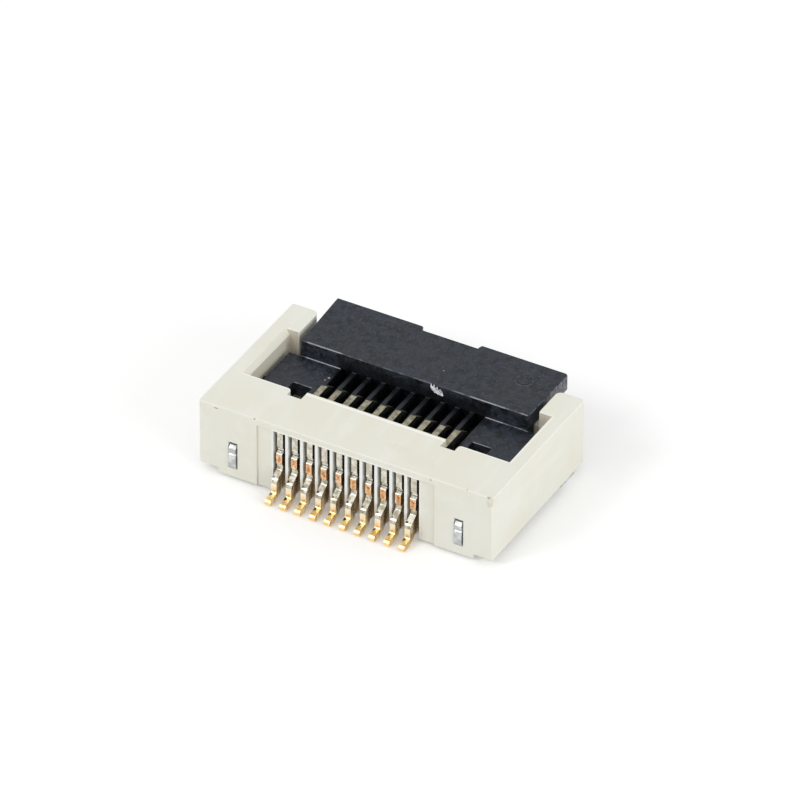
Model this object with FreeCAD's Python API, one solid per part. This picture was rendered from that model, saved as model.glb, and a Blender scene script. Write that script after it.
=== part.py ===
import FreeCAD, Part
import math
import os

# Right-angle flip-lock connector for a flat flexible cable with 0.5 mm pitch.
# Millimetres. X runs along the contact row, -Y is the solder-tail side,
# +Y is the side where the cable goes in, Z = 0 is the top of the board.
# The origin lies on the board, under the middle of the whole outline.

# Contact row and cable
contact_count = 10
pitch = 0.5
contact_thickness = 0.2
cable_side_play = 0.015
cable_thickness = 0.3
cable_play = 0.05

# Heights, stacked from the board upwards
standoff = 0.10
floor_skin = 0.15
flex_gap = 0.17
lower_beam_height = 0.30
beam_cover = 0.20
press_drop = 0.33
shaft_radius = 0.17
seat_gap = 0.04
upper_beam_height = 0.42
beam_roof_gap = 0.04
roof_thickness = 0.245

# Housing outside
housing_depth = 5.6
end_length = 2.7
corner_lift_gap = 0.02
corner_width = 0.65
edge_round = 0.04
upright_round = 0.08

# Housing terminal face
recess_depth = 0.05
recess_margin = 0.72
slot_width = 0.40
slot_depth = 0.95
slot_step_depth = 0.35
slot_step_height = 0.85
channel_play = 0.02

# Housing pocket, tabs and cable mouth
rim_depth = 1.81
rim_middle_step = 0.08
notch_inner = 0.09
notch_width = 0.48
notch_depth = 0.30
notch_round = 0.12
arm_wall = 0.57
lead_in_width = 0.12
lead_in_height = 0.22
tab_length = 1.20
tab_reach = 0.33
tab_corner_round = 0.20
tab_edge_round = 0.06
ledge_height = 0.50
post_length = 1.05
post_gap = 0.06
plate_gap = 0.05
mouth_chamfer = 0.22
groove_width = 0.30
groove_end = 4.60

# Contact outline, distances from the terminal face
stem_face = 0.10
stem_length = 1.00
base_length = 1.45
beak_top = 2.76
beak_length = 0.38
beak_slope = 0.25
hook_length = 0.15
hook_lip = 0.03
nub_place = 3.95
nub_height = 0.10
nub_foot = 0.35
nub_half = 0.09
lower_tip = 4.35
tip_thickness = 0.12
beam_fillet = 0.15
stub_height = 0.38
stub_rise = 1.00
stub_proud = 0.055
ledge_round = 0.04
knee_rise = 0.65
tail_reach = 0.28
foot_reach = 0.66
foot_height = 0.26
foot_slope = 0.05
foot_round = 0.06

# Actuator
pivot_depth = 2.85
web_width = 0.15
web_front = 0.22
web_chamfer = 0.12
shelf_rise = 0.34
shelf_drop = 0.12
shelf_front = 0.42
shelf_notch_start = 0.46
shelf_notch_width = 0.63
shelf_notch_depth = 0.39
plate_lead = 0.30
plate_play = 0.09
block_tab_gap = 0.33
block_draft = 0.09
block_thickness = 0.50
block_tilt = 1.5
block_overhang = 0.90
block_flare = 0.09
block_front_round = 0.05
block_corner_round = 0.12
block_corner_break = 0.04
block_edge_round = 0.035
shelf_side_gap = 0.18
block_side_gap = 0.21
sweep_gap = 0.05
comb_floor = 0.10
finger_half = 0.98
finger_slope = 0.04
finger_depth = 0.20
finger_round = 0.09
shaft_root = 0.05
pin_radius = 0.11
pin_play = 0.03
pin_reach = 0.12

# Solder fittings
fitting_thickness = 0.24
fitting_offset = 1.55
fitting_play = 0.03
window_rise = 0.30
window_height = 0.94
tip_height = 0.80
tip_proud = 0.06
tip_chamfer = 0.05
tip_groove = 0.52
tip_length = 1.20
blade_height = 0.55
tail_width = 0.81
tail_end = 1.18
bend_inner = 0.08
tail_inset = 0.12

# Working values: how far cutters run past a face, and the tolerance for finding edges
past = 1.0
past_chamfer = 0.1
near = 1e-4

# Levels and places that follow from the sizes above
channel_floor = standoff + floor_skin
lower_beam_low = channel_floor + flex_gap
lower_beam_top = lower_beam_low + lower_beam_height
cable_floor = lower_beam_top + beam_cover
press_level = cable_floor + cable_thickness + cable_play
pivot_z = press_level + press_drop
beam_low = pivot_z + shaft_radius + seat_gap
beam_top = beam_low + upper_beam_height
slot_top = beam_top + beam_roof_gap
housing_top = slot_top + roof_thickness
ledge_level = cable_floor + ledge_height
corner_level = fitting_thickness + corner_lift_gap
window_low = standoff + window_rise

half_row = pitch * (contact_count - 1) / 2
half_width = half_row + end_length
cable_half = pitch * (contact_count + 1) / 2 + cable_side_play
wall_x = half_width - arm_wall
tab_x = wall_x - tab_reach
fitting_x = half_row + fitting_offset
corner_x = half_width - corner_width
shelf_x = wall_x - shelf_side_gap
block_x = tab_x - block_side_gap
comb_x = half_row + (pitch - web_width) / 2

front = foot_reach - (foot_reach + housing_depth + block_overhang) / 2
back = front + housing_depth
pivot_y = front + pivot_depth
block_back = back + block_overhang
plate_rear = back - post_length - plate_gap
block_front = back - tab_length - block_tab_gap
shelf_z = pivot_z + shelf_rise
beak_y = front + beak_top + beak_length
sweep_radius = math.hypot(beam_top - pivot_z, beak_y - pivot_y) + sweep_gap

contact_places = [i * pitch - half_row for i in range(contact_count)]


def box(x0, x1, y0, y1, z0, z1):
    return Part.makeBox(x1 - x0, y1 - y0, z1 - z0, FreeCAD.Vector(x0, y0, z0))


def prism(points, travel):
    """Close the outline through the points and push it along travel."""
    outline = Part.makePolygon(points + [points[0]])
    return Part.Face(outline).extrude(travel)


def prism_x(outline, x0, x1):
    points = [FreeCAD.Vector(x0, y, z) for y, z in outline]
    return prism(points, FreeCAD.Vector(x1 - x0, 0, 0))


def prism_y(outline, y0, y1):
    points = [FreeCAD.Vector(x, y0, z) for x, z in outline]
    return prism(points, FreeCAD.Vector(0, y1 - y0, 0))


def prism_z(outline, z0, z1):
    points = [FreeCAD.Vector(x, y, z0) for x, y in outline]
    return prism(points, FreeCAD.Vector(0, 0, z1 - z0))


def rod_x(y, z, radius, x0, x1):
    return Part.makeCylinder(radius, x1 - x0, FreeCAD.Vector(x0, y, z), FreeCAD.Vector(1, 0, 0))


def mirrored(shape):
    return shape.mirror(FreeCAD.Vector(0, 0, 0), FreeCAD.Vector(1, 0, 0))


def pair(shape):
    return [shape, mirrored(shape)]


def edges_where(shape, test):
    """Straight edges whose two ends both pass the test."""
    return [
        edge
        for edge in shape.Edges
        if len(edge.Vertexes) == 2 and all(test(vertex.Point) for vertex in edge.Vertexes)
    ]


def upright_edges_at(shape, x, y):
    return edges_where(shape, lambda p: abs(p.x - x) < near and abs(p.y - y) < near)


def save(shape, node):
    shape.removeSplitter().exportStep("parts/" + node + ".step")


# Housing: one moulding with ten slots, a lidless pocket and two rear tabs

def housing_block():
    return box(-half_width, half_width, front, back, standoff, housing_top)


def rounded(body):
    """Round the upright corners, then the edges round the top face."""
    corners = [(x, y) for x in (-half_width, half_width) for y in (front, back)]
    body = body.makeFillet(upright_round, [e for x, y in corners for e in upright_edges_at(body, x, y)])
    for radius, x, y in (
        (tab_corner_round, tab_x, back),
        (tab_edge_round, tab_x, back - tab_length),
        (notch_round, half_row + notch_inner + notch_width, front + rim_depth),
    ):
        edges = upright_edges_at(body, x, y) + upright_edges_at(body, -x, y)
        body = body.makeFillet(radius, edges)
    rim = edges_where(body, lambda p: abs(p.z - housing_top) < near and at_outside(p))
    return body.makeFillet(edge_round, rim)


def at_outside(p):
    """True near the sides, the terminal face and the rear of the housing."""
    side = abs(p.x) > half_width - upright_round - near
    return side or p.y < front + upright_round + near or p.y > back - upright_round - near


def terminal_cuts():
    """Shallow recess, then a wide slot and a narrow channel for each contact."""
    recess_half = half_row + recess_margin
    cuts = [box(-recess_half, recess_half, front - past, front + recess_depth, -past, slot_top)]
    step_z = standoff + slot_step_height
    channel_half = contact_thickness / 2 + channel_play
    for x in contact_places:
        half = slot_width / 2
        cuts.append(box(x - half, x + half, front - past, front + slot_step_depth, -past, slot_top))
        cuts.append(box(x - half, x + half, front - past, front + slot_depth, step_z, slot_top))
        channel_end = front + rim_depth + past
        cuts.append(box(x - channel_half, x + channel_half, front, channel_end, channel_floor, slot_top))
        groove = groove_width / 2
        cuts.append(
            box(x - groove, x + groove, front + base_length, front + groove_end, channel_floor, pivot_z)
        )
    return cuts


def pocket_cuts():
    """Pocket for the actuator, the cable bed below it and the notched rim."""
    over = housing_top + past
    tab_y = back - tab_length
    post_y = back - post_length
    inner_y = front + rim_depth + rim_middle_step
    cuts = [
        box(-wall_x, wall_x, inner_y, tab_y, shelf_z - post_gap, over),
        box(-tab_x, tab_x, inner_y, back + past, shelf_z - post_gap, over),
        box(-wall_x, wall_x, inner_y, tab_y, ledge_level, over),
        box(-tab_x, tab_x, inner_y, post_y, ledge_level, over),
        box(-cable_half, cable_half, inner_y, back + past, cable_floor, over),
    ]
    notch_x = half_row + notch_inner
    side = box(notch_x + notch_width / 2, wall_x, front + rim_depth, tab_y, ledge_level, over)
    notch_floor = front + rim_depth - notch_depth
    notch = box(
        notch_x, notch_x + notch_width, notch_floor, inner_y + past_chamfer, ledge_level, over
    )
    lead_in = prism_y(
        [
            (wall_x - lead_in_width, housing_top - lead_in_height),
            (wall_x, housing_top - lead_in_height),
            (wall_x + lead_in_width, housing_top),
            (wall_x + lead_in_width, over),
            (wall_x - lead_in_width, over),
        ],
        front + rim_depth,
        tab_y,
    )
    relief = rod_x(pivot_y, pivot_z, sweep_radius, comb_x, wall_x)
    bearing_end = wall_x + pin_reach + pin_play
    bearing = rod_x(pivot_y, pivot_z, pin_radius + pin_play, wall_x - past_chamfer, bearing_end)
    for cutter in (side, notch, lead_in, relief, bearing):
        cuts += pair(cutter)
    return cuts


def mouth_cuts():
    """Chamfers that lead the cable onto its bed and between the side posts."""
    floor_lead = prism_x(
        [
            (back - mouth_chamfer, cable_floor),
            (back + past_chamfer, cable_floor + past_chamfer),
            (back + past_chamfer, cable_floor - mouth_chamfer - past_chamfer),
        ],
        -cable_half,
        cable_half,
    )
    side_lead = prism_z(
        [
            (cable_half, back - mouth_chamfer),
            (cable_half + mouth_chamfer + past_chamfer, back + past_chamfer),
            (cable_half - past_chamfer, back + past_chamfer),
        ],
        cable_floor - mouth_chamfer,
        housing_top + past,
    )
    return [floor_lead] + pair(side_lead)


def fitting_cuts():
    """Window in the terminal face, the blade's slot and the recess over the solder tab."""
    half = fitting_thickness / 2 + fitting_play
    window_top = window_low + window_height
    window = box(
        fitting_x - half, fitting_x + half, front - past, front + tip_length, window_low, window_top
    )
    slot_z = window_low + blade_height + fitting_play
    slot = box(fitting_x - half, fitting_x + half, front, back + past, window_low, slot_z)
    tail_y = back - tail_end - fitting_play
    tail = box(fitting_x - half, fitting_x + half, tail_y, back + past, -past, slot_z)
    relief_top = corner_level + bend_inner
    relief = box(fitting_x - half, corner_x + fitting_play, tail_y, back + past, -past, relief_top)
    cuts = []
    for cutter in (window, slot, tail, relief):
        cuts += pair(cutter)
    return cuts


def housing():
    body = rounded(housing_block().cut(pocket_cuts()))
    lift = box(corner_x, half_width + past, front - past, back + past, -past, corner_level)
    return body.cut(pair(lift) + mouth_cuts() + terminal_cuts() + fitting_cuts())


# Contact: blanked from sheet in the plane across the row, never bent

def contact_outline():
    """Outline of the fork, the foot, the knee and the carrier stub, clockwise from the stem's top."""
    stem_y = front + stem_face
    stub_y = stem_y - stub_proud
    stub_low = standoff + stub_rise
    stub_top = stub_low + stub_height
    knee = standoff + knee_rise
    tail_y = front - tail_reach
    tip_y = front - foot_reach
    nub_y = front + nub_place
    nub_z = cable_floor + nub_height
    hook_y = beak_y + hook_lip
    hook_z = beam_low - hook_lip
    step = ledge_round
    upper_fork = [
        (stem_y, beam_top),
        (front + beak_top, beam_top),
        (beak_y, beam_top - beak_slope),
        (hook_y, hook_z),
        (hook_y - hook_length, hook_z),
        (hook_y - hook_length - hook_lip, beam_low),
        (stem_y + stem_length, beam_low),
    ]
    lower_fork = [
        (stem_y + stem_length, lower_beam_top + beam_fillet),
        (stem_y + stem_length + beam_fillet, lower_beam_top),
        (nub_y - nub_foot, lower_beam_top),
        (nub_y - nub_half, nub_z),
        (nub_y + nub_half, nub_z),
        (front + lower_tip, lower_beam_top),
        (front + lower_tip, lower_beam_top - tip_thickness),
        (nub_y, lower_beam_low),
        (front + base_length + beam_fillet, lower_beam_low),
        (front + base_length, lower_beam_low - beam_fillet),
        (front + base_length, channel_floor),
    ]
    foot = [
        (front, channel_floor),
        (front - step, standoff + step),
        (tail_y - step, standoff / 2),
        (tail_y - 2 * step, 0),
        (tip_y + foot_round, 0),
        (tip_y, foot_round),
        (tip_y, foot_height - foot_slope - foot_round),
        (tip_y + foot_round, foot_height - foot_slope),
        (tail_y - step, foot_height),
        (tail_y, foot_height + step),
    ]
    knee_steps = [
        (tail_y, knee - 3 * step),
        (tail_y + step, knee - step),
        (tail_y + 2 * step, knee),
        (stem_y - step, stub_low - 5 * step),
        (stem_y, stub_low - 3 * step),
    ]
    stub = [
        (stem_y, stub_low - step),
        (stub_y, stub_low),
        (stub_y, stub_top),
        (stem_y + step, stub_top + step),
        (stem_y + step, stub_top + 4 * step),
        (stem_y, stub_top + 5 * step),
    ]
    return upper_fork + lower_fork + foot + knee_steps + stub


def contact(x):
    half = contact_thickness / 2
    return prism_x(contact_outline(), x - half, x + half)


# Actuator: block, two end shelves and a comb whose shaft lies under the contact beaks

def actuator_block():
    """Block above the cable, tilted on top, flared towards its rear, with the finger notch."""
    front_top = block_front + block_draft
    top_front = shelf_z + block_thickness
    top_back = top_front + (block_back - block_front) * math.tan(math.radians(block_tilt))
    side = prism_x(
        [
            (block_front, shelf_z),
            (front_top, top_front),
            (block_back, top_back),
            (block_back, top_back - block_thickness),
            (plate_rear, shelf_z),
        ],
        -block_x - block_flare,
        block_x + block_flare,
    )
    wide = block_x + block_flare
    plan = prism_z(
        [(-block_x, block_front), (block_x, block_front), (wide, block_back), (-wide, block_back)],
        shelf_z - past,
        top_back + past,
    )
    body = side.common(plan)
    floor_y = block_back - finger_depth
    finger = prism_z(
        [
            (-finger_half, block_back),
            (-finger_half, block_back + past),
            (finger_half, block_back + past),
            (finger_half, block_back),
            (finger_half - finger_slope, floor_y),
            (finger_slope - finger_half, floor_y),
        ],
        shelf_z - past,
        top_back + past,
    )
    body = body.cut(finger)
    for radius, x in (
        (block_corner_round, wide),
        (block_corner_break, -wide),
        (finger_round, finger_half),
        (finger_round, -finger_half),
    ):
        body = body.makeFillet(radius, upright_edges_at(body, x, block_back))
    face_edges = edges_where(body, lambda p: abs(p.x) > block_x - near and p.y < front_top + near)
    body = body.makeFillet(block_front_round, [e for e in face_edges if e.Length < 2 * block_thickness])
    lead_edges = edges_where(body, lambda p: p.z > top_front - near and p.y < front_top + near)
    return body.makeFillet(block_edge_round, lead_edges)


def actuator_plate():
    """Plate under the block that presses the cable down, with the comb's webs at its front."""
    low = pivot_z - press_drop
    nose = pivot_y - web_front
    profile = [
        (pivot_y, low),
        (plate_rear - plate_lead, low),
        (plate_rear, low + plate_lead / 2),
        (plate_rear, shelf_z),
        (nose + web_chamfer, shelf_z),
        (nose, shelf_z - web_chamfer),
        (nose, pivot_z - web_front / 2),
    ]
    half = cable_half - plate_play
    return prism_x(profile, -half, half)


def actuator_shelf():
    """End shelf with its front notch, and the bearing pin that turns in the arm."""
    start = pivot_y - shelf_front
    low = pivot_z - shelf_drop
    inner = prism_x(
        [(start, low), (plate_rear, low), (plate_rear, shelf_z), (start, shelf_z)],
        comb_x,
        block_x,
    )
    outer = box(block_x, shelf_x, start, block_front, low, shelf_z)
    notch_x = half_row + shelf_notch_start
    notch = box(
        notch_x,
        notch_x + shelf_notch_width,
        start - past,
        start + shelf_notch_depth,
        low - past,
        shelf_z + past,
    )
    pin = rod_x(pivot_y, pivot_z, pin_radius, shelf_x - pin_reach, wall_x + pin_reach)
    return inner.fuse(outer).cut(notch).fuse(pin)


def comb_cuts():
    """One slot per contact: clear through around the beak's sweep, then shallower to the block."""
    cuts = []
    half = (pitch - web_width) / 2
    low = pivot_z - press_drop - past
    block_face = block_front + block_draft
    for x in contact_places:
        cuts.append(box(x - half, x + half, pivot_y - past, pivot_y + sweep_radius, low, shelf_z + past))
        cuts.append(box(x - half, x + half, pivot_y, block_face, pivot_z - comb_floor, shelf_z))
    return cuts


def actuator():
    body = actuator_block().fuse([actuator_plate()] + pair(actuator_shelf()))
    body = body.cut(comb_cuts())
    shaft_end = comb_x + shaft_root
    return body.fuse(rod_x(pivot_y, pivot_z, shaft_radius, -shaft_end, shaft_end))


# Solder fitting: bent sheet, pushed in from the cable side, its tip showing in the window

def fitting():
    half = fitting_thickness / 2
    tip_y = front - tip_proud
    tip_low = window_low + tip_chamfer
    tip_top = tip_low + tip_height
    groove_z = tip_low + tip_groove
    step_y = front + tip_length - fitting_play
    end_y = back - tail_end + tail_width
    blade_top = window_low + blade_height
    blade = prism_x(
        [
            (tip_y, tip_low + tip_chamfer),
            (tip_y, groove_z - tip_chamfer),
            (tip_y + tip_chamfer, groove_z),
            (tip_y, groove_z + tip_chamfer),
            (tip_y, tip_top - 2 * tip_chamfer),
            (tip_y + 2 * tip_chamfer, tip_top),
            (step_y - tip_chamfer, tip_top),
            (step_y, blade_top),
            (end_y, blade_top),
            (end_y, window_low),
            (front + 2 * tip_chamfer, window_low),
            (tip_y + tip_chamfer, tip_low),
        ],
        fitting_x - half,
        fitting_x + half,
    )
    return blade.fuse(fitting_tail(end_y))


def fitting_tail(end_y):
    """The leg below the blade, bent outwards to lie on the board beside the housing."""
    inner = fitting_x - fitting_thickness / 2
    outer = fitting_x + fitting_thickness / 2
    root = window_low + blade_height / 2
    centre_z = fitting_thickness + bend_inner
    start_y = back - tail_end
    tail_x = half_width - tail_inset

    def point(x, z):
        return FreeCAD.Vector(x, start_y, z)

    def bend(wall, radius):
        """Quarter circle from the leg's face at wall down to the tab's face."""
        diagonal = radius * (1 - math.sqrt(0.5))
        level = centre_z - radius
        return (
            point(wall, centre_z),
            point(wall + diagonal, level + diagonal),
            point(wall + radius, level),
        )

    outside = bend(inner, bend_inner + fitting_thickness)
    inside = bend(outer, bend_inner)
    edges = [
        Part.LineSegment(point(inner, root), outside[0]),
        Part.Arc(*outside),
        Part.LineSegment(outside[2], point(tail_x, 0)),
        Part.LineSegment(point(tail_x, 0), point(tail_x, fitting_thickness)),
        Part.LineSegment(point(tail_x, fitting_thickness), inside[2]),
        Part.Arc(*inside),
        Part.LineSegment(inside[0], point(outer, root)),
        Part.LineSegment(point(outer, root), point(inner, root)),
    ]
    wire = Part.Wire([edge.toShape() for edge in edges])
    return Part.Face(wire).extrude(FreeCAD.Vector(0, end_y - start_y, 0))


os.makedirs("parts", exist_ok=True)
save(housing(), "housing")
save(actuator(), "actuator")
for number, place in enumerate(contact_places, start=1):
    save(contact(place), "contact_%02d" % number)
right_fitting = fitting()
save(right_fitting, "fitting_right")
save(mirrored(right_fitting), "fitting_left")
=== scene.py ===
import math

import bmesh
import bpy
from mathutils import Matrix, Vector


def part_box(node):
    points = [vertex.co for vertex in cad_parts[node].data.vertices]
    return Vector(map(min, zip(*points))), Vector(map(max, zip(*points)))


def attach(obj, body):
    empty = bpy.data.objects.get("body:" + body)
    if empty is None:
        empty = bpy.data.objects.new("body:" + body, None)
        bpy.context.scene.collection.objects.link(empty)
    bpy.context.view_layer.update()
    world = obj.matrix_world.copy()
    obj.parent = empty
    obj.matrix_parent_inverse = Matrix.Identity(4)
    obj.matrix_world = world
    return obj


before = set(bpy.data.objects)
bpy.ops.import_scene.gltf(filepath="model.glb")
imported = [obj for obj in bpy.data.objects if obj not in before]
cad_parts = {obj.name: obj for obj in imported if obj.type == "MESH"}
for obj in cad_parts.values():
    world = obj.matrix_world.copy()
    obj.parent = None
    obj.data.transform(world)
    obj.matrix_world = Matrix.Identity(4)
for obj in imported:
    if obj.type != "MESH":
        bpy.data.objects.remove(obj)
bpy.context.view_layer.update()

# Housing
# One moulding in ivory glass-filled resin. The ten slots in its front face and the pocket in its
# top are cored by the mould. Its faces show faint flow streaks, a few specks and a rubbed corner.
MM = 0.001
TERMINAL_FACE = -2.92


class Paint:
    """A procedural material. Its masks are in mm: x, y from the terminal face and z from the board."""

    def __init__(self, name, colour, roughness, metallic=0.0, specular=0.5):
        self.material = bpy.data.materials.new(name)
        self.material.use_nodes = True
        self.tree = self.material.node_tree
        self.shader = self.tree.nodes["Principled BSDF"]
        self.shader.inputs["Base Color"].default_value = (*colour, 1)
        self.shader.inputs["Roughness"].default_value = roughness
        self.shader.inputs["Metallic"].default_value = metallic
        self.shader.inputs["Specular IOR Level"].default_value = specular
        source = self.add("ShaderNodeTexCoord")
        scaled = self.vector("MULTIPLY", source.outputs["Object"], (1000, 1000, 1000))
        self.place = self.vector("SUBTRACT", scaled, (0, TERMINAL_FACE, 0))
        self.x, self.y, self.z = self.split(self.place)
        self.normal_x, self.normal_y, self.normal_z = self.split(source.outputs["Normal"])

    def add(self, kind, **settings):
        node = self.tree.nodes.new(kind)
        for key, value in settings.items():
            setattr(node, key, value)
        return node

    def feed(self, socket, value):
        if isinstance(value, bpy.types.NodeSocket):
            self.tree.links.new(value, socket)
        elif isinstance(value, tuple) and socket.type == "RGBA":
            socket.default_value = (*value, 1)
        else:
            socket.default_value = value

    def split(self, value):
        node = self.add("ShaderNodeSeparateXYZ")
        self.feed(node.inputs[0], value)
        return node.outputs

    def vector(self, operation, a, b):
        node = self.add("ShaderNodeVectorMath", operation=operation)
        self.feed(node.inputs[0], a)
        self.feed(node.inputs[1], b)
        return node.outputs["Value" if operation == "DISTANCE" else "Vector"]

    def math(self, operation, a, b=0.0):
        node = self.add("ShaderNodeMath", operation=operation)
        self.feed(node.inputs[0], a)
        self.feed(node.inputs[1], b)
        return node.outputs[0]

    def times(self, *factors):
        result = factors[0]
        for factor in factors[1:]:
            result = self.math("MULTIPLY", result, factor)
        return result

    def most(self, *values):
        result = values[0]
        for value in values[1:]:
            result = self.math("MAXIMUM", result, value)
        return result

    def rise(self, value, low, high, start=0.0, end=1.0):
        """Start below low, end above high, and smooth between them."""
        node = self.add("ShaderNodeMapRange", interpolation_type="SMOOTHSTEP")
        self.feed(node.inputs["Value"], value)
        node.inputs["From Min"].default_value = low
        node.inputs["From Max"].default_value = high
        node.inputs["To Min"].default_value = start
        node.inputs["To Max"].default_value = end
        return node.outputs["Result"]

    def fall(self, value, low, high):
        """1 below low, 0 above high."""
        return self.rise(value, low, high, 1.0, 0.0)

    def band(self, value, low, high, soft):
        """1 from low to high."""
        inside = self.rise(value, low - soft, low + soft)
        return self.times(inside, self.fall(value, high - soft, high + soft))

    def noise(self, per_mm, detail=2.0, shift=0.0):
        scaled = self.vector("MULTIPLY", self.place, per_mm)
        moved = self.vector("ADD", scaled, (shift, shift, shift))
        node = self.add("ShaderNodeTexNoise")
        node.inputs["Scale"].default_value = 1.0
        node.inputs["Detail"].default_value = detail
        self.feed(node.inputs["Vector"], moved)
        return node.outputs["Fac"]

    def wander(self, per_mm):
        node = self.add("ShaderNodeTexNoise")
        node.inputs["Scale"].default_value = 1.0
        self.feed(node.inputs["Vector"], self.vector("MULTIPLY", self.place, per_mm))
        return node.outputs["Color"]

    def spot(self, centre, radius, stretch=(1, 1, 1), ragged=0.0):
        """1 inside a soft-edged, slightly ragged spot."""
        there = self.vector("MULTIPLY", self.vector("SUBTRACT", self.place, centre), stretch)
        away = self.vector("DISTANCE", there, (0, 0, 0))
        if ragged:
            shake = self.noise((9, 9, 9), 2.0, centre[0])
            away = self.math("ADD", away, self.times(self.math("SUBTRACT", shake, 0.5), ragged))
        return self.fall(away, radius * 0.7, radius * 1.2)

    def line_x(self, y, z, inner, outer, width, broken):
        """1 along an edge that runs in X on both sides of the middle, with gaps. It masks painted
        highlight lines.
        """
        away = self.math("POWER", self.math("SUBTRACT", self.y, y), 2.0)
        rise = self.math("POWER", self.math("SUBTRACT", self.z, z), 2.0)
        near = self.fall(self.math("SQRT", self.math("ADD", away, rise)), width * 0.5, width)
        reach = self.band(self.math("ABSOLUTE", self.x), inner, outer, 0.03)
        return self.times(near, reach, broken)

    def edges(self):
        """1 on rounded edges and chamfers, 0 on faces square to the axes."""
        facing = [self.math("ABSOLUTE", part) for part in (self.normal_x, self.normal_y, self.normal_z)]
        return self.fall(self.most(*facing), 0.90, 0.985)

    def blend(self, factor, a, b):
        node = self.add("ShaderNodeMix", data_type="RGBA")
        self.feed(node.inputs[0], factor)
        self.feed(node.inputs[6], a)
        self.feed(node.inputs[7], b)
        return node.outputs[2]

    def bump(self, height, depth_mm, strength=1.0):
        node = self.add("ShaderNodeBump")
        node.inputs["Strength"].default_value = strength
        node.inputs["Distance"].default_value = depth_mm * MM
        self.feed(node.inputs["Height"], height)
        self.feed(self.shader.inputs["Normal"], node.outputs["Normal"])


SHARP_DEGREES = 28
SHORTEST_MM = 0.05
FLAT_DEGREES = 0.5
WELD_DISTANCE = 1e-7


def tree_math(tree, operation, a, b):
    node = tree.nodes.new("ShaderNodeMath")
    node.operation = operation
    for socket, value in zip(node.inputs, (a, b)):
        if isinstance(value, bpy.types.NodeSocket):
            tree.links.new(value, socket)
        else:
            socket.default_value = value
    return node.outputs[0]


def geometry_group(name):
    """A geometry group with its way in and its way out, to be filled."""
    group = bpy.data.node_groups.new(name, "GeometryNodeTree")
    group.interface.new_socket("Geometry", in_out="INPUT", socket_type="NodeSocketGeometry")
    group.interface.new_socket("Geometry", in_out="OUTPUT", socket_type="NodeSocketGeometry")
    way_in = group.nodes.new("NodeGroupInput").outputs[0]
    return group, way_in, group.nodes.new("NodeGroupOutput").inputs[0]


def edges_to_round(name, above_mm):
    """Marks the sharp edges that lie above a height. Tiny ones would tear the faces beside them."""
    group, way_in, way_out = geometry_group("edges of " + name)
    ends = group.nodes.new("GeometryNodeInputMeshEdgeVertices").outputs
    span = group.nodes.new("ShaderNodeVectorMath")
    span.operation = "DISTANCE"
    group.links.new(ends["Position 1"], span.inputs[0])
    group.links.new(ends["Position 2"], span.inputs[1])
    marked = tree_math(group, "GREATER_THAN", span.outputs["Value"], SHORTEST_MM * MM)
    angle = group.nodes.new("GeometryNodeInputMeshEdgeAngle").outputs["Unsigned Angle"]
    sharp = tree_math(group, "GREATER_THAN", angle, math.radians(SHARP_DEGREES))
    marked = tree_math(group, "MULTIPLY", marked, sharp)
    for end in ("Position 1", "Position 2"):
        place = group.nodes.new("ShaderNodeSeparateXYZ")
        group.links.new(ends[end], place.inputs[0])
        above = tree_math(group, "GREATER_THAN", place.outputs[2], above_mm * MM)
        marked = tree_math(group, "MULTIPLY", marked, above)
    store = group.nodes.new("GeometryNodeStoreNamedAttribute")
    store.data_type = "FLOAT"
    store.domain = "EDGE"
    store.inputs["Name"].default_value = "bevel_weight_edge"
    group.links.new(way_in, store.inputs["Geometry"])
    group.links.new(marked, store.inputs["Value"])
    group.links.new(store.outputs[0], way_out)
    return group


def size_limit(name):
    """Holds every point inside the box of the solid."""
    group, way_in, way_out = geometry_group("size of " + name)
    low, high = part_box(name)
    held = group.nodes.new("GeometryNodeInputPosition").outputs[0]
    for operation, corner in (("MAXIMUM", low), ("MINIMUM", high)):
        node = group.nodes.new("ShaderNodeVectorMath")
        node.operation = operation
        group.links.new(held, node.inputs[0])
        node.inputs[1].default_value = corner
        held = node.outputs["Vector"]
    place = group.nodes.new("GeometryNodeSetPosition")
    group.links.new(way_in, place.inputs["Geometry"])
    group.links.new(held, place.inputs["Position"])
    group.links.new(place.outputs[0], way_out)
    return group


def dress(name, paint, edge_mm, above_mm=None):
    """Give a carried-over solid its material and small rounded edges, all or those above a height."""
    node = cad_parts[name]
    node.data.materials.clear()
    node.data.materials.append(paint.material)
    weld = node.modifiers.new("weld", "WELD")
    weld.merge_threshold = WELD_DISTANCE
    flat = node.modifiers.new("flat faces", "DECIMATE")
    flat.decimate_type = "DISSOLVE"
    flat.angle_limit = math.radians(FLAT_DEGREES)
    if above_mm is not None:
        marks = node.modifiers.new("edges to round", "NODES")
        marks.node_group = edges_to_round(name, above_mm)
    bevel = node.modifiers.new("edges", "BEVEL")
    bevel.width = edge_mm * MM
    bevel.segments = 3
    bevel.limit_method = "ANGLE" if above_mm is None else "WEIGHT"
    bevel.angle_limit = math.radians(SHARP_DEGREES)
    bevel.use_clamp_overlap = False
    bevel.harden_normals = True
    trim = node.modifiers.new("inside its size", "NODES")
    trim.node_group = size_limit(name)


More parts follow.
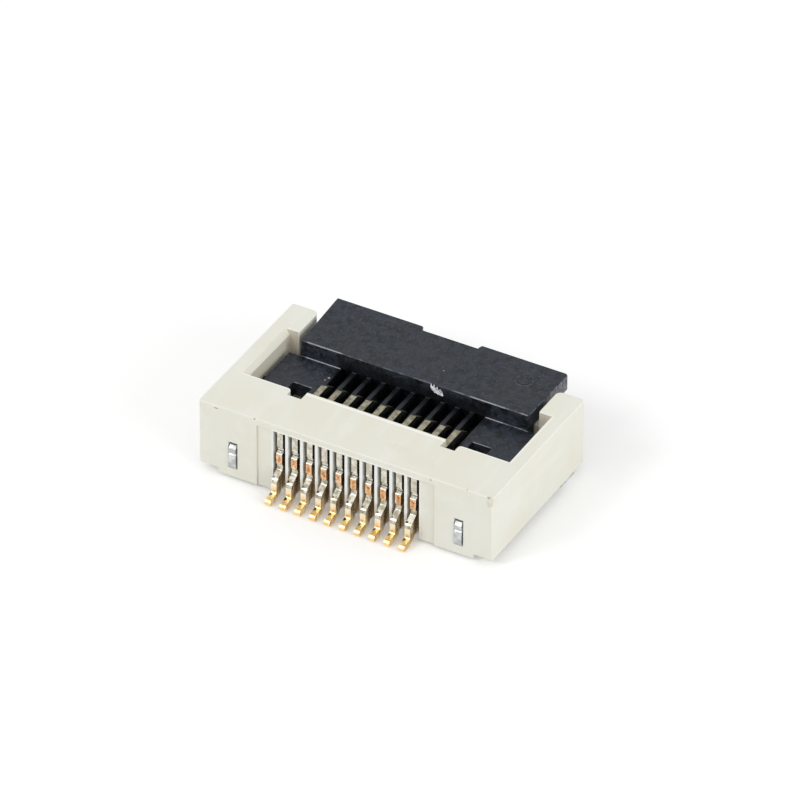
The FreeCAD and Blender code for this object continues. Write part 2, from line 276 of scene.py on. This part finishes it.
ivory = Paint("ivory resin", (0.79, 0.785, 0.69), 0.48)
reach = ivory.math("ABSOLUTE", ivory.x)
cloud = ivory.noise((0.45, 0.45, 0.45), 2.0)
streaks = ivory.noise((2.2, 0.5, 2.2), 3.0, 4.0)
drawn = ivory.noise((7.0, 7.0, 0.5), 2.0, 9.0)
grain = ivory.noise((14, 14, 14), 2.0)
colour = ivory.blend(ivory.rise(cloud, 0.35, 0.65), (0.785, 0.772, 0.665), (0.80, 0.80, 0.715))
colour = ivory.blend(ivory.rise(streaks, 0.45, 0.7, 0.0, 0.5), colour, (0.84, 0.84, 0.775))
colour = ivory.blend(ivory.rise(drawn, 0.5, 0.8, 0.0, 0.18), colour, (0.72, 0.71, 0.62))
# The pocket's inner walls and floor are painted darker and warmer: painted shade.
inside = ivory.times(
    ivory.fall(reach, 4.37, 4.41),
    ivory.band(ivory.y, 1.83, 4.6, 0.02),
    ivory.fall(ivory.z, 2.25, 2.45),
)
colour = ivory.blend(ivory.times(inside, 0.8), colour, (0.74, 0.695, 0.575))
# The tabs' front faces at the back of the pocket are painted darker and browner: painted shade.
tab_front_shade = ivory.times(ivory.band(ivory.y, 4.0, 4.5, 0.05), ivory.fall(ivory.normal_y, -0.9, -0.7))
colour = ivory.blend(ivory.times(tab_front_shade, 0.7), colour, (0.66, 0.60, 0.50))
front = ivory.fall(ivory.y, 0.08, 0.14)
lead_in = ivory.times(ivory.band(reach, 4.36, 4.52, 0.02), ivory.band(ivory.y, 1.83, 4.45, 0.02))
# Rounded edges and chamfers are painted paler, less so on the front face: painted highlight.
painted_edge_light = ivory.times(
    ivory.edges(),
    ivory.rise(ivory.y, 0.03, 0.09, 0.28, 0.7),
    ivory.rise(lead_in, 0.2, 0.8, 1.0, 0.75),
)
colour = ivory.blend(painted_edge_light, colour, (0.90, 0.90, 0.83))
# The left arm's lead-in chamfer is painted paler still: painted highlight.
painted_slope_light = ivory.times(lead_in, ivory.edges(), ivory.fall(ivory.x, -4.0, -3.9))
colour = ivory.blend(ivory.times(painted_slope_light, 0.75), colour, (0.93, 0.90, 0.78))
# Thin near-white lines along the pocket's front rim, the right arm's outer top edge and the tops of the
# slots: painted highlights.
pocket_rim_highlight = ivory.most(
    ivory.times(ivory.band(ivory.y, 1.75, 1.84, 0.010), ivory.fall(reach, 4.42, 4.46)),
    ivory.times(ivory.band(ivory.x, 4.48, 4.57, 0.02), ivory.band(ivory.y, 1.77, 4.4, 0.02), 0.7),
)
slot_top_highlight = ivory.times(ivory.band(ivory.z, 2.275, 2.33, 0.008), front, ivory.fall(reach, 2.45, 2.5))
bright = ivory.most(ivory.times(pocket_rim_highlight, ivory.rise(ivory.z, 2.42, 2.47)), slot_top_highlight)
colour = ivory.blend(ivory.times(bright, 0.7), colour, (0.97, 0.97, 0.92))
# The middle of the front recess, round the slots, is painted paler and bluish: painted light.
recess = ivory.times(front, ivory.rise(ivory.y, 0.02, 0.04), ivory.fall(ivory.z, 2.2, 2.3))
recess_post_light = ivory.times(recess, ivory.fall(reach, 2.48, 2.53), 0.85)
colour = ivory.blend(recess_post_light, colour, (0.90, 0.92, 0.90))
# Thin lines along the sides and the top edge of the front recess are painted dark brown.
sides = ivory.times(ivory.band(reach, 2.955, 2.99, 0.01), ivory.fall(ivory.z, 2.27, 2.29))
upper = ivory.times(ivory.band(ivory.z, 2.25, 2.275, 0.01), ivory.band(reach, 2.28, 2.97, 0.02))
colour = ivory.blend(ivory.times(front, ivory.most(sides, upper), 0.45), colour, (0.52, 0.44, 0.31))
stain = ivory.most(
    ivory.spot((2.25, 0.55, 2.515), 0.45, (0.8, 1.6, 1), 0.5),
    ivory.spot((1.35, 0.80, 2.515), 0.30, (0.7, 1.8, 1), 0.5),
)
colour = ivory.blend(ivory.times(stain, 0.25), colour, (0.76, 0.70, 0.56))
rubbed_outer = ivory.spot((4.83, 0.03, 2.36), 0.14, (1.2, 1, 0.7), 0.22)
rubbed_inner = ivory.times(ivory.spot((4.83, 0.03, 2.39), 0.075), 0.75)
rubbed = ivory.math("SUBTRACT", rubbed_outer, rubbed_inner)
colour = ivory.blend(ivory.times(rubbed, 0.55), colour, (0.66, 0.57, 0.42))
specks = ivory.most(
    ivory.spot((-3.05, 0.0, 2.49), 0.035),
    ivory.spot((2.87, 0.0, 2.44), 0.030),
    ivory.spot((4.07, 0.03, 2.50), 0.025),
    ivory.spot((4.79, 0.01, 2.49), 0.030, (0.5, 1, 1)),
    ivory.spot((-4.35, 0.0, 2.42), 0.025, (0.3, 1, 1)),
)
colour = ivory.blend(ivory.times(specks, 0.7), colour, (0.28, 0.24, 0.18))
ivory.feed(ivory.shader.inputs["Base Color"], colour)
ivory.feed(ivory.shader.inputs["Roughness"], ivory.rise(streaks, 0.3, 0.7, 0.42, 0.55))
ivory.bump(ivory.math("ADD", ivory.times(grain, 0.5), ivory.times(rubbed, -3.0)), 0.004, 0.6)
dress("housing", ivory, 0.02)

# Actuator
# A bar moulded in black resin, with a comb that straddles the contact beaks and a shaft under
# them. Handling has left fine scratches, pale specks and one torn, white fleck on its front edge.
black = Paint("black resin", (0.014, 0.016, 0.020), 0.42, 0.0, 0.36)
black.shader.inputs["Specular Tint"].default_value = (0.84, 0.92, 1.0, 1)
mottle = black.noise((3.6, 3.6, 3.6), 5.0)
fine = black.noise((11, 11, 11), 3.0, 2.0)
haze = black.noise((0.7, 0.7, 0.7), 2.0, 3.0)
straight = black.place
swirl = black.vector("MULTIPLY", black.wander((0.8, 0.8, 0.8)), (0.9, 0.9, 0.9))
black.place = black.vector("ADD", straight, swirl)
scratch_a = black.noise((0.9, 20, 1), 1.0, 1.0)
scratch_b = black.noise((16, 1.6, 1), 1.0, 7.0)
black.place = straight
scratches = black.times(
    black.most(black.band(scratch_a, 0.62, 0.635, 0.008), black.band(scratch_b, 0.64, 0.655, 0.008)),
    black.rise(black.noise((1.1, 1.1, 1.1), 1.0, 5.0), 0.48, 0.60),
)
dots = black.add("ShaderNodeTexVoronoi")
dots.inputs["Scale"].default_value = 1.4
black.feed(dots.inputs["Vector"], black.place)
pale = black.times(
    black.fall(dots.outputs["Distance"], 0.030, 0.055),
    black.rise(black.split(dots.outputs["Color"])[0], 0.62, 0.66),
)
colour = black.blend(black.rise(mottle, 0.36, 0.64), (0.002, 0.003, 0.005), (0.020, 0.025, 0.037))
colour = black.blend(black.rise(fine, 0.50, 0.72), colour, (0.036, 0.041, 0.052))
colour = black.blend(black.rise(haze, 0.45, 0.7, 0.0, 0.35), colour, (0.024, 0.023, 0.024))
colour = black.blend(black.times(scratches, 0.35), colour, (0.09, 0.10, 0.11))
colour = black.blend(black.times(pale, 0.7), colour, (0.20, 0.21, 0.21))
broken = black.rise(black.noise((2.6, 0.2, 0.2), 3.0, 11.0), 0.40, 0.60, 0.15, 1.0)
outer_ends = black.rise(black.math("ABSOLUTE", black.math("ADD", black.x, 0.35)), 1.6, 2.3, 0.30, 1.0)
# The comb is painted near-black toward the bar and below its top: painted shade.
along_row = black.fall(black.math("ABSOLUTE", black.x), 2.45, 2.65)
comb = black.times(along_row, black.rise(black.y, 2.9, 3.7))
shaded = black.times(comb, black.fall(black.z, 2.1, 2.42))
colour = black.blend(black.times(shaded, 0.9), colour, (0.002, 0.002, 0.003))
# Thin, broken pale lines along the bar's top front edge, where its front meets the shelves, and along
# the shelf notches' back edges: painted highlights.
highlight_lines = black.most(
    black.line_x(4.16, 2.44, -0.1, 3.80, 0.034, black.times(broken, outer_ends)),
    black.line_x(4.06, 1.95, 2.46, 3.90, 0.024, broken),
    black.line_x(2.82, 1.94, 2.72, 3.33, 0.024, broken),
)
colour = black.blend(black.times(highlight_lines, 0.95), colour, (0.33, 0.34, 0.37))
pin_place = black.vector("DISTANCE", black.place, (2.92, 5.60, 2.48))
pin_ring = black.times(black.band(pin_place, 0.20, 0.245, 0.012), 0.8)
colour = black.blend(pin_ring, colour, (0.001, 0.001, 0.001))
# A pale rim round the pin mark: painted highlight.
ring_highlight = black.times(black.band(pin_place, 0.25, 0.275, 0.012), black.rise(fine, 0.45, 0.6))
colour = black.blend(black.times(ring_highlight, 0.8), colour, (0.09, 0.095, 0.11))
# The bar's right top edge is painted paler in broken patches: painted highlight.
end_edge_highlight = black.times(black.edges(), black.rise(black.x, 3.74, 3.79), black.rise(black.z, 2.36, 2.42))
end_edge_highlight = black.times(end_edge_highlight, black.rise(fine, 0.42, 0.60, 0.05, 0.6))
colour = black.blend(end_edge_highlight, colour, (0.16, 0.17, 0.19))
nicks = black.most(
    black.spot((-2.53, 3.50, 1.94), 0.045, (1, 1, 1), 0.08),
    black.spot((-2.58, 3.36, 1.94), 0.025),
    black.spot((1.28, 6.10, 2.46), 0.025),
    black.spot((1.37, 6.24, 2.46), 0.020),
    black.spot((0.59, 4.88, 2.46), 0.022),
)
colour = black.blend(nicks, colour, (0.35, 0.36, 0.38))
# The faces turned to the right at the back of the bar are painted paler in streaks: painted light from
# the right.
lit_end_faces = black.times(black.rise(black.normal_x, 0.7, 0.9), black.rise(black.y, 4.9, 5.3))
lit_end_faces = black.times(lit_end_faces, black.rise(fine, 0.42, 0.58, 0.15, 0.9))
colour = black.blend(lit_end_faces, colour, (0.17, 0.175, 0.185))
black.feed(black.shader.inputs["Base Color"], colour)
black.feed(black.shader.inputs["Roughness"], black.rise(mottle, 0.3, 0.75, 0.34, 0.50))
relief = black.math("ADD", black.times(mottle, 0.8), black.times(fine, 0.6))
relief = black.math("SUBTRACT", relief, black.times(pin_ring, 3.0))
black.bump(black.math("SUBTRACT", relief, black.times(scratches, 0.8)), 0.006, 0.9)
underside_end = 1.6
dress("actuator", black, 0.022, underside_end)

# Torn fleck
# A sliver of the front top edge is torn up and shows the white broken resin below the skin.
torn = Paint("torn resin", (0.72, 0.73, 0.76), 0.6)
torn_tone = torn.rise(torn.noise((20, 20, 20), 2.0), 0.35, 0.65)
torn_colour = torn.blend(torn_tone, (0.36, 0.37, 0.40), (0.92, 0.93, 0.95))
torn.feed(torn.shader.inputs["Base Color"], torn_colour)
fleck_left, fleck_width, fleck_thickness = 0.565, 0.43, 0.022
lean, ripple = 0.05, 0.02
edge_y, edge_z = TERMINAL_FACE + 4.165, 2.445
teeth = (0.0, 0.10, 0.0, 0.11, 0.03, 0.15, 0.10, 0.14, 0.25)
roots = (0.08, 0.16, 0.21, 0.24, 0.255, 0.26, 0.27, 0.28, 0.285)
bm = bmesh.new()
bmesh.ops.create_grid(bm, x_segments=len(teeth) - 1, y_segments=3, size=0.5)
for vert in bm.verts:
    step = round((vert.co.x + 0.5) * (len(teeth) - 1))
    down = 0.5 - vert.co.y
    vert.co = Vector((
        fleck_left + fleck_width * step / (len(teeth) - 1),
        edge_y - lean * down - ripple * (step % 2),
        edge_z - teeth[step] - (roots[step] - teeth[step]) * down,
    )) * MM
bmesh.ops.recalc_face_normals(bm, faces=bm.faces)
bmesh.ops.solidify(bm, geom=bm.faces[:], thickness=fleck_thickness * MM)
fleck_mesh = bpy.data.meshes.new("torn_fleck")
bm.to_mesh(fleck_mesh)
bm.free()
fleck = bpy.data.objects.new("torn_fleck", fleck_mesh)
bpy.context.collection.objects.link(fleck)
fleck.data.materials.append(torn.material)
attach(fleck, "lock")

# Contacts
# Ten forks blanked from bronze sheet and plated, pushed into their slots from the front. The
# blanked edges face forward and up, and the rolled faces look sideways. The stub where the strip
# was broken off shows bare bronze, and only the foot keeps its bright gold.
plated = Paint("plated bronze", (0.52, 0.47, 0.38), 0.34, 1.0)
across = plated.math("SUBTRACT", plated.math("MODULO", plated.math("ADD", plated.x, 2.5), 0.5), 0.25)
tool_marks = plated.noise((26, 5, 11), 3.0)
patches = plated.noise((6, 6, 6), 3.0, 2.0)
sideways = plated.rise(plated.math("ABSOLUTE", plated.normal_x), 0.75, 0.92)
in_front = plated.fall(plated.y, 0.20, 0.30)
colour = plated.blend(plated.rise(patches, 0.35, 0.65), (0.54, 0.51, 0.41), (0.80, 0.77, 0.68))
beam = plated.blend(plated.rise(patches, 0.35, 0.65), (0.20, 0.19, 0.13), (0.40, 0.375, 0.28))
colour = plated.blend(plated.rise(plated.y, 0.3, 0.6), colour, beam)
colour = plated.blend(plated.rise(tool_marks, 0.5, 0.72, 0.0, 0.45), colour, (0.26, 0.22, 0.15))
neck_zone = plated.times(plated.band(plated.z, 0.30, 1.02, 0.03), in_front)
neck = plated.blend(plated.rise(patches, 0.38, 0.62), (0.42, 0.39, 0.29), (0.90, 0.86, 0.74))
colour = plated.blend(plated.times(neck_zone, 0.9), colour, neck)
cream = plated.times(plated.band(plated.z, 0.28, 0.62, 0.04), plated.fall(plated.y, -0.24, -0.18))
colour = plated.blend(cream, colour, (0.99, 0.88, 0.66))
# A near-white band along each contact's front ledge: painted highlight.
ledge_highlight = plated.times(plated.band(plated.z, 1.47, 1.51, 0.006), in_front)
stub_height = plated.band(plated.z, 1.115, 1.465, 0.015)
stub_zone = plated.times(stub_height, plated.fall(plated.y, 0.06, 0.085))
worn_core = plated.rise(plated.noise((9, 9, 7), 2.0, 6.0), 0.45, 0.6)
core = plated.times(plated.band(across, -0.03, 0.05, 0.03), plated.band(plated.z, 1.18, 1.40, 0.05))
core = plated.times(core, plated.rise(plated.noise((5, 1, 7), 2.0, 41.0), 0.40, 0.58, 0.25, 1.0))
rim_light = plated.rise(plated.noise((14, 14, 9), 2.0, 31.0), 0.50, 0.62)
bare = plated.blend(rim_light, (0.90, 0.50, 0.25), (1.0, 0.80, 0.58))
dark_core = plated.math("ADD", plated.times(worn_core, 0.3), plated.times(core, 0.7))
bare = plated.blend(dark_core, bare, (0.24, 0.085, 0.03))
colour = plated.blend(stub_zone, colour, bare)
gold_zone = plated.times(plated.fall(plated.z, 0.24, 0.52), plated.fall(plated.y, 0.0, 0.1))
gold = plated.blend(plated.rise(patches, 0.3, 0.7), (0.95, 0.62, 0.22), (0.99, 0.77, 0.42))
colour = plated.blend(gold_zone, colour, gold)
# The rolled side faces get a streaky brown tone of their own, painted darker with height and near-black
# from 1.3 mm up, where the slots shade them: painted shade.
bands = plated.noise((1.5, 8, 1.2), 2.0, 13.0)
dark_end = plated.blend(plated.rise(plated.z, 0.6, 1.1), (0.38, 0.27, 0.15), (0.10, 0.06, 0.03))
light_end = plated.blend(plated.rise(plated.z, 0.6, 1.1), (0.88, 0.76, 0.56), (0.58, 0.44, 0.27))
side_tone_and_shade = plated.blend(plated.rise(bands, 0.40, 0.60), dark_end, light_end)
side_tone_and_shade = plated.blend(plated.rise(plated.z, 1.3, 1.7), side_tone_and_shade, (0.13, 0.125, 0.11))
sideways = plated.times(sideways, plated.rise(plated.z, 0.05, 0.35, 0.35, 1.0))
colour = plated.blend(sideways, colour, side_tone_and_shade)
# Dark lines along the creases and steps of each contact's front: painted shade.
crease_shade = plated.most(
    plated.times(plated.band(plated.z, 1.525, 1.565, 0.010), in_front, 1.0),
    plated.times(plated.band(plated.z, 1.63, 1.66, 0.015), in_front, 0.6),
    plated.times(plated.band(plated.z, 1.055, 1.075, 0.012), in_front, 0.7),
    plated.times(plated.band(plated.z, 0.61, 0.63, 0.012), in_front, 0.7),
)
local = plated.add("ShaderNodeCombineXYZ")
plated.feed(local.inputs[0], across)
plated.feed(local.inputs[1], plated.y)
plated.feed(local.inputs[2], plated.z)
column_place, plated.place = plated.place, local.outputs[0]
# Two dark spots on each contact's front, one low on the neck and one on the foot.
dark_spots = plated.most(plated.spot((-0.07, -0.19, 0.78), 0.055), plated.spot((-0.075, -0.36, 0.27), 0.07))
plated.place = column_place
uneven = plated.rise(plated.noise((1.9, 0.1, 0.1), 2.0, 21.0), 0.38, 0.55, 0.7, 1.0)
colour = plated.blend(plated.times(crease_shade, 0.8), colour, (0.07, 0.05, 0.025))
colour = plated.blend(plated.times(dark_spots, uneven), colour, (0.07, 0.045, 0.03))
# The ledge band goes on last: painted highlight.
colour = plated.blend(ledge_highlight, colour, (0.98, 0.97, 0.93))
plated.feed(plated.shader.inputs["Base Color"], colour)
plated.feed(plated.shader.inputs["Roughness"], plated.rise(tool_marks, 0.3, 0.7, 0.24, 0.42))
plated.bump(plated.math("ADD", tool_marks, plated.times(worn_core, stub_zone)), 0.008, 0.8)
for number in range(1, 11):
    dress("contact_%02d" % number, plated, 0.014)

# Solder fittings
# Two strips of tin-plated sheet, pushed in from the cable side. The tip fills a window beside the
# contact row, and the bent tab solders to the board under the rear corner.
tinned = Paint("tinned sheet", (0.60, 0.61, 0.61), 0.50, 1.0)
rolled = tinned.noise((3, 14, 14), 2.0)
dull = tinned.noise((4, 4, 4), 3.0, 3.0)
colour = tinned.blend(tinned.rise(dull, 0.35, 0.65), (0.50, 0.52, 0.52), (0.72, 0.74, 0.74))
tinned.feed(tinned.shader.inputs["Base Color"], colour)
tinned.feed(tinned.shader.inputs["Roughness"], tinned.rise(rolled, 0.3, 0.7, 0.42, 0.60))
tinned.bump(rolled, 0.005, 0.7)
dress("fitting_left", tinned, 0.02)
dress("fitting_right", tinned, 0.02)

# Camera
# The photograph's own view, fitted to the edges of the housing.
azimuth = math.radians(29.10)
elevation = math.radians(36.35)
roll = math.radians(0.25)
view_distance = 275.4
back_of_view = Vector((
    math.sin(azimuth) * math.cos(elevation),
    -math.cos(azimuth) * math.cos(elevation),
    math.sin(elevation),
))
level = Vector((math.cos(azimuth), math.sin(azimuth), 0))
upward = back_of_view.cross(level)
right = level * math.cos(roll) + upward * math.sin(roll)
up = upward * math.cos(roll) - level * math.sin(roll)
aim = Vector((0, TERMINAL_FACE + 2.5, 1.10)) + 0.393 * right + 1.281 * up
camera = bpy.data.objects.new("camera", bpy.data.cameras.new("camera"))
bpy.context.collection.objects.link(camera)
camera.data.lens = 420.3
camera.data.sensor_width = 36
camera.data.clip_start = 0.01
camera.data.clip_end = 10
camera.location = (aim + view_distance * back_of_view) * MM
camera.rotation_mode = "QUATERNION"
camera.rotation_quaternion = Matrix((right, up, back_of_view)).transposed().to_quaternion()
bpy.context.scene.camera = camera
bpy.context.scene.view_settings.view_transform = "Standard"

# Floor
# A wide sheet of white paper. It is seen as plain white away from the part's shadow.
paper = Paint("white paper", (0.90, 0.90, 0.90), 0.9, 0.0, 0.0)
seen = paper.add("ShaderNodeLightPath").outputs
lift = paper.most(seen["Is Camera Ray"], seen["Is Glossy Ray"], seen["Is Transmission Ray"])
paper.shader.inputs["Emission Color"].default_value = (1, 1, 1, 1)
paper_glow = 0.17
paper.feed(paper.shader.inputs["Emission Strength"], paper.times(lift, paper_glow))
floor_mesh = bpy.data.meshes.new("floor")
bm = bmesh.new()
bmesh.ops.create_circle(bm, cap_ends=True, segments=64, radius=1.5)
bm.to_mesh(floor_mesh)
bm.free()
floor = bpy.data.objects.new("floor", floor_mesh)
bpy.context.collection.objects.link(floor)
floor.data.materials.append(paper.material)

# Surround
# A light tent: white all round for the camera, brighter above than at the front, and two soft
# lamps, one in front on the left and one on the right.
world = bpy.data.worlds.new("world")
world.use_nodes = True
bpy.context.scene.world = world
tent = world.node_tree
background = tent.nodes["Background"]
background.inputs["Color"].default_value = (1, 1, 1, 1)


def tent_rise(value, low, high, start, end):
    node = tent.nodes.new("ShaderNodeMapRange")
    node.interpolation_type = "SMOOTHSTEP"
    tent.links.new(value, node.inputs["Value"])
    for name, setting in (("From Min", low), ("From Max", high), ("To Min", start), ("To Max", end)):
        node.inputs[name].default_value = setting
    return node.outputs["Result"]


direction = tent.nodes.new("ShaderNodeSeparateXYZ")
tent.links.new(tent.nodes.new("ShaderNodeTexCoord").outputs["Generated"], direction.inputs[0])
low_band = tent_rise(direction.outputs["Z"], 0.10, 0.45, 1.0, 0.0)
front_side = tent_rise(direction.outputs["Y"], -0.75, -0.15, 1.0, 0.0)
opening_depth = 0.6
opening = tree_math(tent, "MULTIPLY", tree_math(tent, "MULTIPLY", low_band, front_side), opening_depth)
cloth = tree_math(tent, "SUBTRACT", 1.0, opening)
path = tent.nodes.new("ShaderNodeLightPath").outputs
mirrored = tree_math(tent, "MAXIMUM", path["Is Glossy Ray"], path["Is Transmission Ray"])
tent_level, mirrored_gain = 0.76, 0.20
gained = tree_math(tent, "ADD", tent_level, tree_math(tent, "MULTIPLY", mirrored, mirrored_gain))
level_here = tree_math(tent, "MULTIPLY", cloth, gained)
seen_white = tree_math(tent, "MAXIMUM", level_here, path["Is Camera Ray"])
tent.links.new(seen_white, background.inputs["Strength"])


def soft_lamp(name, azimuth_deg, elevation_deg, distance, size, watts):
    a, e = math.radians(azimuth_deg), math.radians(elevation_deg)
    direction = Vector((math.sin(a) * math.cos(e), -math.cos(a) * math.cos(e), math.sin(e)))
    light = bpy.data.lights.new(name, "AREA")
    light.shape = "DISK"
    light.size = size
    light.energy = watts
    lamp = bpy.data.objects.new(name, light)
    lamp.location = direction * distance
    lamp.rotation_mode = "QUATERNION"
    lamp.rotation_quaternion = direction.to_track_quat("Z", "Y")
    bpy.context.collection.objects.link(lamp)


soft_lamp("left lamp", -33, 40, 0.3, 0.12, 0.21)
soft_lamp("right lamp", 76, 20, 0.3, 0.20, 0.24)
